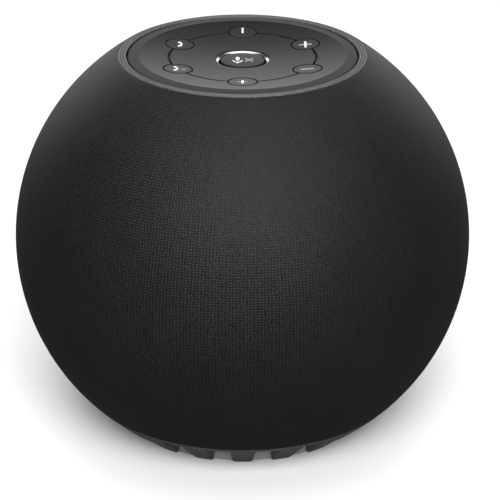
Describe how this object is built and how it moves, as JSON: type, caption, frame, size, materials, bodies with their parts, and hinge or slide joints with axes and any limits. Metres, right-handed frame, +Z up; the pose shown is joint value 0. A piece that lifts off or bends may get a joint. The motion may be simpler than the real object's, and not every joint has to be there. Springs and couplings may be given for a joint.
{
  "type": "smart home hub",
  "caption": "Tabletop smart home hub: a fabric-covered ball speaker with a dished control panel on top, round keys, and a toothed foot skirt.",
  "frame": {"origin": "on the surface it stands on, under the ball's vertical axis", "axes": "+Z up through the control panel; -Y is the front, where the pairing key is; +Y is the back, with the power inlet; +X is to the right seen from the front"},
  "size_m": [0.15, 0.15, 0.126],
  "materials": {
    "knit_fabric": "fine black knitted mesh",
    "dark_plastic": "moulded black",
    "panel_plastic": "satin black",
    "chrome": "polished",
    "skirt_plastic": "fine matt dark grey",
    "rubber": "matt black",
    "silicone": "translucent grey silicone",
    "circuit_board": "green solder mask",
    "steel": "zinc plated",
    "aluminium": "extruded",
    "magnet": "ferrite",
    "paper_cone": "pressed pulp and cloth",
    "copper": "enamelled copper wire",
    "abs_grey": "moulded dark grey"
  },
  "bodies": {
    "housing": {"fabric_cover": "knit_fabric", "upper_grille_shell": "dark_plastic", "lower_grille_shell": "dark_plastic", "base_skirt": "skirt_plastic", "base_plate": "dark_plastic", "foot_ring": "rubber", "sound_grille_ring": "steel", "chassis_ring": "abs_grey", "top_panel": "panel_plastic", "panel_carrier": "abs_grey", "mute_bezel": "chrome", "key_mat": "silicone", "control_board": "circuit_board", "mute_switch": "dark_plastic", "woofer_basket": "steel", "woofer_top_plate": "steel", "woofer_magnet": "magnet", "woofer_yoke": "steel", "woofer_surround": "rubber", "woofer_spider": "paper_cone", "enclosure_lower": "abs_grey", "enclosure_gasket": "rubber", "enclosure_upper": "abs_grey", "left_tweeter": "abs_grey", "right_tweeter": "abs_grey", "main_board": "circuit_board", "rf_shield": "steel", "heat_sink": "aluminium", "control_ribbon": "silicone", "port_housing": "dark_plastic", "power_inlet": "dark_plastic", "power_switch": "dark_plastic", "volume_up_switch": "dark_plastic", "volume_down_switch": "dark_plastic", "pairing_switch": "dark_plastic", "hang_up_switch": "dark_plastic", "answer_switch": "dark_plastic", "base_screw_1": "steel", "chassis_screw_1": "steel", "board_screw_1": "steel", "microphone_1": "steel", "base_screw_2": "steel", "chassis_screw_2": "steel", "board_screw_2": "steel", "microphone_2": "steel", "base_screw_3": "steel", "chassis_screw_3": "steel", "board_screw_3": "steel", "microphone_3": "steel"},
    "power_key": {"power_key": "panel_plastic"},
    "volume_up_key": {"volume_up_key": "panel_plastic"},
    "volume_down_key": {"volume_down_key": "panel_plastic"},
    "pairing_key": {"pairing_key": "panel_plastic"},
    "hang_up_key": {"hang_up_key": "panel_plastic"},
    "answer_key": {"answer_key": "panel_plastic"},
    "mute_key": {"mute_key": "panel_plastic"},
    "woofer_diaphragm": {"woofer_cone": "paper_cone", "woofer_dust_cap": "paper_cone", "woofer_voice_coil": "copper"}
  },
  "joints": [
    {"name": "power_press", "type": "slide", "parent": "housing", "child": "power_key", "axis": [0, 0, -1], "range_m": [0, 0.0005], "stiffness_N_per_m": 400, "springref_m": -0.0002},
    {"name": "volume_up_press", "type": "slide", "parent": "housing", "child": "volume_up_key", "axis": [0, 0, -1], "range_m": [0, 0.0005], "stiffness_N_per_m": 400, "springref_m": -0.0002},
    {"name": "volume_down_press", "type": "slide", "parent": "housing", "child": "volume_down_key", "axis": [0, 0, -1], "range_m": [0, 0.0005], "stiffness_N_per_m": 400, "springref_m": -0.0002},
    {"name": "pairing_press", "type": "slide", "parent": "housing", "child": "pairing_key", "axis": [0, 0, -1], "range_m": [0, 0.0005], "stiffness_N_per_m": 400, "springref_m": -0.0002},
    {"name": "hang_up_press", "type": "slide", "parent": "housing", "child": "hang_up_key", "axis": [0, 0, -1], "range_m": [0, 0.0005], "stiffness_N_per_m": 400, "springref_m": -0.0002},
    {"name": "answer_press", "type": "slide", "parent": "housing", "child": "answer_key", "axis": [0, 0, -1], "range_m": [0, 0.0005], "stiffness_N_per_m": 400, "springref_m": -0.0002},
    {"name": "mute_press", "type": "slide", "parent": "housing", "child": "mute_key", "axis": [0, 0, -1], "range_m": [0, 0.0005], "stiffness_N_per_m": 400, "springref_m": -0.0002},
    {"name": "woofer_stroke", "type": "slide", "parent": "housing", "child": "woofer_diaphragm", "axis": [0, 0, 1], "range_m": [-0.002, 0.002], "stiffness_N_per_m": 1500, "deforming": ["woofer_surround", "woofer_spider"]}
  ]
}
